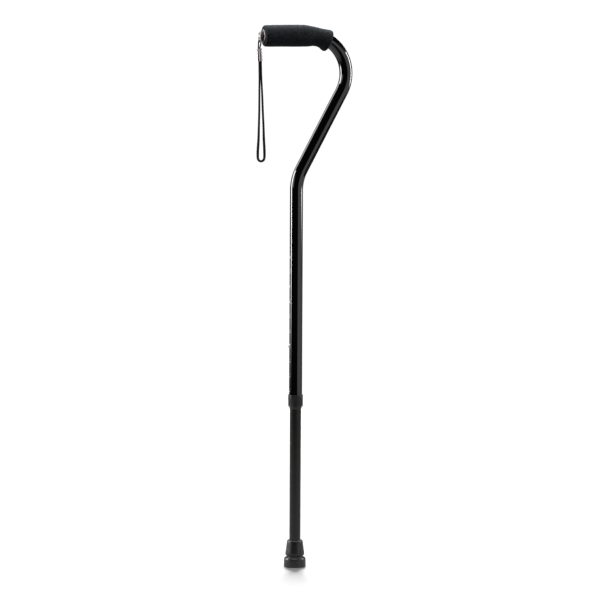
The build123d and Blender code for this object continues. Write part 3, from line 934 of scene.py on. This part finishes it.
def route_line(route):
    """The smooth line of a cord, as the NURBS spline over its route gives it, in metres."""
    data = bpy.data.curves.new("route", "CURVE")
    data.dimensions = "3D"
    data.resolution_u = 24
    spline = data.splines.new("NURBS")
    spline.points.add(len(route) - 1)
    for point, (x, z) in zip(spline.points, route):
        point.co = (x, 0.0, z, 1.0)
    spline.order_u = 3
    spline.use_endpoint_u = True
    return np.array([tuple(p) for p in curve_mesh(data)[0]])


def evenly(line, spacing):
    """Points this far apart along a line, with their distances from its start."""
    along = np.concatenate([[0], np.cumsum(np.linalg.norm(np.diff(line, axis=0), axis=1))])
    wanted = np.linspace(0, along[-1], max(2, round(along[-1] / spacing) + 1))
    return np.stack([np.interp(wanted, along, line[:, k]) for k in range(3)], axis=1), wanted


def braid(u, v, pairs):
    """Height of a tubular braid at u pitches along and v turns round."""
    right, left = pairs * v + u, pairs * v - u
    over = math.sin(2 * math.pi * right) * math.sin(2 * math.pi * left)
    a = 1 - abs(2 * ((right * 2) % 1.0) - 1) ** 2.2
    b = 1 - abs(2 * ((left * 2) % 1.0) - 1) ** 2.2
    blend = 0.5 + 0.5 * math.tanh(4.0 * over)
    return blend * a + (1 - blend) * b


def braided_piece(name, node, route, widths, spacing, columns, pitch, pairs, relief):
    """A braided cord along its route; widths is (distance from its lowest point, width, thickness)."""
    line, along = evenly(route_line(route), spacing)
    lowest = along[int(np.argmin(line[:, 2]))]
    tangents = np.gradient(line, axis=0)
    tangents /= np.linalg.norm(tangents, axis=1)[:, None]
    verts, braid_shading = [], []
    for point, tangent, where in zip(line, tangents, along):
        across, through = Vector(tangent).cross(Vector((0, 1, 0))).normalized(), Vector((0, 1, 0))
        width, thickness = [float(np.interp(abs(where - lowest), widths[0], w)) for w in widths[1:]]
        for j in range(columns):
            angle = 2 * math.pi * j / columns
            c, s = math.cos(angle), math.sin(angle)
            flat_c = math.copysign(abs(c) ** CORD_SQUARENESS, c)
            flat_s = math.copysign(abs(s) ** CORD_SQUARENESS, s)
            height = braid(1000 * where / pitch, j / columns, pairs)
            swell = (height - BRAID_MEAN) * relief
            offset = (across * (flat_c * (width / 2 + swell))
                      + through * (flat_s * (thickness / 2 + swell)))
            verts.append(tuple(Vector(point) * 1000 + offset))
            # the braid's height, which the cord's material turns into painted shade between the strands
            braid_shading.append(height)
    faces = capped_grid(len(line), columns)
    return finish_mesh(name, verts, faces, "strap", node, {"strand_shading": braid_shading}, weighted=False), line


def ferrule_piece():
    """Crimped sleeve: two lobes side by side, open at its ends, ridges pressed along it."""
    top, foot = Vector((-66.9, 0, 883.2)), Vector((-65.2, 0, 862.8))
    axis = (top - foot).normalized()
    side, columns = Vector((axis.z, 0, -axis.x)), 96
    reach, wide, deep = (top - foot).length, 4.7, 2.75

    def section(scale, pinch):
        ring = []
        for j in range(columns):
            angle = 2 * math.pi * j / columns
            c, s = math.cos(angle), math.sin(angle)
            x = math.copysign(abs(c) ** 0.72, c) * (wide - scale)
            y = math.copysign(abs(s) ** 0.72, s) * (deep - scale)
            valley, ridge = math.exp(-((x / 0.95) ** 2)), math.exp(-(((abs(x) - 2.9) / 0.5) ** 2))
            y *= 1 - pinch * valley - 0.16 * pinch * ridge
            ring.append((x, y))
        return ring

    rows = [(0.0, 0.75, 0.1), (0.0, 0.55, 0.1), (0.12, 0.12, 0.12), (0.5, 0.0, 0.15)]
    rows += [(h, 0.0, 0.15 + 0.15 * min(1, h / 3, (reach - h) / 3))
             for h in np.linspace(1.2, reach - 1.2, 14)]
    rows += [(reach - 0.5, 0.0, 0.15), (reach - 0.12, 0.12, 0.12), (reach, 0.55, 0.1),
             (reach, 0.75, 0.1)]
    rows = [(1.6, 0.85, 0.1)] + rows + [(reach - 1.6, 0.85, 0.1)]
    verts = []
    for h, scale, pinch in rows:
        middle = foot + axis * h
        verts += [tuple(middle + side * x + Vector((0, y, 0))) for x, y in section(scale, pinch)]
    return finish_mesh("strap_ferrule_piece", verts, capped_grid(len(rows), columns), "strap",
                       "strap_ferrule")


ferrule = ferrule_piece()
WRIST_WIDTHS = ((0.0, 0.018, 0.034, 0.06, 0.11, 0.172),
                (3.9, 4.5, 4.3, 3.7, 3.3, 2.85), (3.2, 3.0, 3.0, 3.0, 2.9, 2.85))
loop, loop_line = braided_piece(
    "wrist_loop_piece", "wrist_loop", WRIST_ROUTE, WRIST_WIDTHS, 0.00042, 48, 4.2, 4, 0.26)
EYE_WIDTHS = ((0.0, 0.02), (2.25, 2.25), (2.1, 2.1))
eye, eye_line = braided_piece(
    "eye_loop_piece", "strap_eye_loop", EYE_ROUTE, EYE_WIDTHS, 0.00016, 32, 2.0, 3, 0.14)


# --- CAD nodes that stay, hidden inside the tube ---
for name in ("leg_top_guide", "snap_spring", "tip_disc"):
    node = frame["nodes"][name]
    node.data.materials.clear()
    node.data.materials.append(FINISH[NODE_SLOT[name]])


# --- floor and lights ---
# the floor's level in the gloss, and the distances where its fading starts and ends
FLOOR_LEVEL, FLOOR_FULL_TO, FLOOR_DARK_AT = 0.66, 0.7, 1.9
PICTURE_SIDE = -108.0            # azimuth of the side the picture is taken from
STRIP_DISTANCE = 1.5
# name, direction, width, foot, top, heights where it is dark and full, strength
STRIPS = [
    ("left_strip", -96.5, 0.32, 0.03, 1.35, 0.03, 0.46, 24.0),
    ("right_strip", 104, 0.22, 0.32, 1.35, 0.34, 0.58, 30.0),
]


def stage_piece(name, verts, faces, material):
    """Part of the studio, which matt surfaces aren't lit by."""
    mesh = new_mesh(name, verts, faces)
    mesh.materials.append(material)
    piece = placed(name, mesh)
    piece.visible_diffuse = False
    return piece


def floor():
    """A pale round floor under the tip, which fades with distance in what the gloss mirrors."""
    radius, columns = 2.0, 128
    rings = [0.0, 0.05, 0.15, 0.4, 1.0, radius]
    verts = [(r * math.cos(2 * math.pi * j / columns), r * math.sin(2 * math.pi * j / columns), 0.0)
             for r in rings for j in range(columns)]
    material, tree, shader = new_material("floor", Base_Color=(0.94, 0.94, 0.94, 1), Roughness=0.9,
                                          Specular_IOR_Level=0.0)
    coords = add(tree, "ShaderNodeTexCoord").outputs["Object"]
    away = add(tree, "ShaderNodeVectorMath", {"operation": "LENGTH"}, Vector=coords)
    near = rise(tree, away.outputs["Value"], FLOOR_DARK_AT, FLOOR_FULL_TO, top=FLOOR_LEVEL)
    mirrored = add(tree, "ShaderNodeEmission", Strength=near)
    seen = either(tree, add(tree, "ShaderNodeLightPath").outputs["Is Glossy Ray"], shader, mirrored)
    tree.links.new(seen, tree.get_output_node("ALL").inputs["Surface"])
    material.cycles.emission_sampling = "NONE"
    stage_piece("floor", verts, grid_faces(len(rings), columns), material)


def toward(turn, rise=0.0):
    """A direction in degrees; 0 is the side the picture is taken from, + is to its right."""
    azimuth, lift = math.radians(turn + PICTURE_SIDE), math.radians(rise)
    return Vector((math.cos(azimuth) * math.cos(lift), math.sin(azimuth) * math.cos(lift),
                   math.sin(lift)))


def strip_light(name, turn, width, low, high, dark_z, full_z, strength):
    """A tall soft strip, dark below one height and at full strength above another."""
    middle = toward(turn) * STRIP_DISTANCE
    side = Vector((-middle.y, middle.x, 0)).normalized()
    heights = np.linspace(low, high, 30)
    verts = [tuple(middle + side * k * width / 2 + Vector((0, 0, z))) for z in heights for k in (-1, 1)]
    faces = [(2 * i, 2 * i + 1, 2 * i + 3, 2 * i + 2) for i in range(len(heights) - 1)]
    material, tree, _ = new_material(name)
    tree.nodes.clear()
    coords = add(tree, "ShaderNodeTexCoord").outputs["Object"]
    height = add(tree, "ShaderNodeSeparateXYZ", Vector=coords).outputs["Z"]
    fade = maths(tree, "POWER", rise(tree, height, dark_z, full_z), 1.5)
    light = add(tree, "ShaderNodeEmission", Strength=times(tree, fade, strength))
    add(tree, "ShaderNodeOutputMaterial", Surface=light.outputs[0])
    stage_piece(name, verts, faces, material).visible_camera = False


# the room's level as the camera sees it; the rest is what the gloss mirrors
SEEN_LEVEL, WALL_LEVEL, HORIZON_LEVEL, DARK_LEVEL = 1.05, 0.9, 1.8, 0.015
# a direction, and the cosines to it where the light starts and is full; a list's entries multiply
UP = toward(0, 90)
PALE_WALL = [(toward(117), 0.0, 0.14), (toward(30), -0.6, 0.9, "LINEAR"), (UP, 0.42, 0.18),
             (UP, -0.6, -0.3)]
HORIZON_BAND = [(UP, -0.05, 0.03), (UP, 0.4, 0.16), (toward(-95), 0.66, 0.9)]
# the same, and each one's strength; these add up
SOFT_BOXES = [
    (toward(0, 58), 0.88, 0.97, 2.4),
    (toward(180, 68), 0.8, 0.92, 5.0),
    (toward(-146), 0.94, 0.98, 0.14),
    (toward(-122, 26), 0.955, 0.985, 4.0),
]


def surroundings():
    """A white room for the camera; soft boxes and a pale wall for the gloss to mirror."""
    world = bpy.data.worlds.new("studio")
    scene.world = world
    world.use_nodes = True
    world.cycles_visibility.diffuse = False
    tree = world.node_tree
    tree.nodes.clear()
    coords = add(tree, "ShaderNodeTexCoord").outputs["Generated"]

    def part(direction, start, full, curve="SMOOTHSTEP"):
        """0 to 1 as a ray turns towards a direction, from one cosine to another."""
        aim = add(tree, "ShaderNodeVectorMath", {"operation": "DOT_PRODUCT"}, Vector=coords)
        aim.inputs[1].default_value = direction
        return rise(tree, aim.outputs["Value"], start, full, curve)

    def product(parts):
        """Several parts multiplied together."""
        made = part(*parts[0])
        for one in parts[1:]:
            made = times(tree, made, part(*one))
        return made

    level = maths(tree, "MULTIPLY_ADD", product(PALE_WALL), WALL_LEVEL, DARK_LEVEL)
    level = maths(tree, "MULTIPLY_ADD", product(HORIZON_BAND), HORIZON_LEVEL, level)
    for direction, start, full, strength in SOFT_BOXES:
        level = maths(tree, "MULTIPLY_ADD", part(direction, start, full), strength, level)
    mirrored = add(tree, "ShaderNodeBackground", Strength=level, Color=(1, 1, 1, 1))
    white = add(tree, "ShaderNodeBackground", Strength=SEEN_LEVEL, Color=(1, 1, 1, 1))
    seen = either(tree, add(tree, "ShaderNodeLightPath").outputs["Is Camera Ray"], mirrored, white)
    add(tree, "ShaderNodeOutputWorld", Surface=seen)


def soft_sun(name, direction, width, strength):
    """Wide, even light from one side, which the gloss doesn't mirror."""
    data = bpy.data.lights.new(name, "SUN")
    data.energy = strength
    data.angle = math.radians(width)
    sun = placed(name, data)
    sun.rotation_euler = direction.to_track_quat("Z", "Y").to_euler()
    sun.visible_glossy = False


# name, direction, width in degrees, strength
SOFT_SUNS = [
    ("back_sun", toward(180, 46), 22, 4.6),
    ("front_sun", toward(0, 58), 60, 0.66),
    ("left_sun", toward(-100, 35), 70, 0.2),
    ("right_sun", toward(100, 35), 70, 0.2),
]
floor()
for strip in STRIPS:
    strip_light(*strip)
surroundings()
for sun in SOFT_SUNS:
    soft_sun(*sun)
scene.view_settings.view_transform = "Standard"
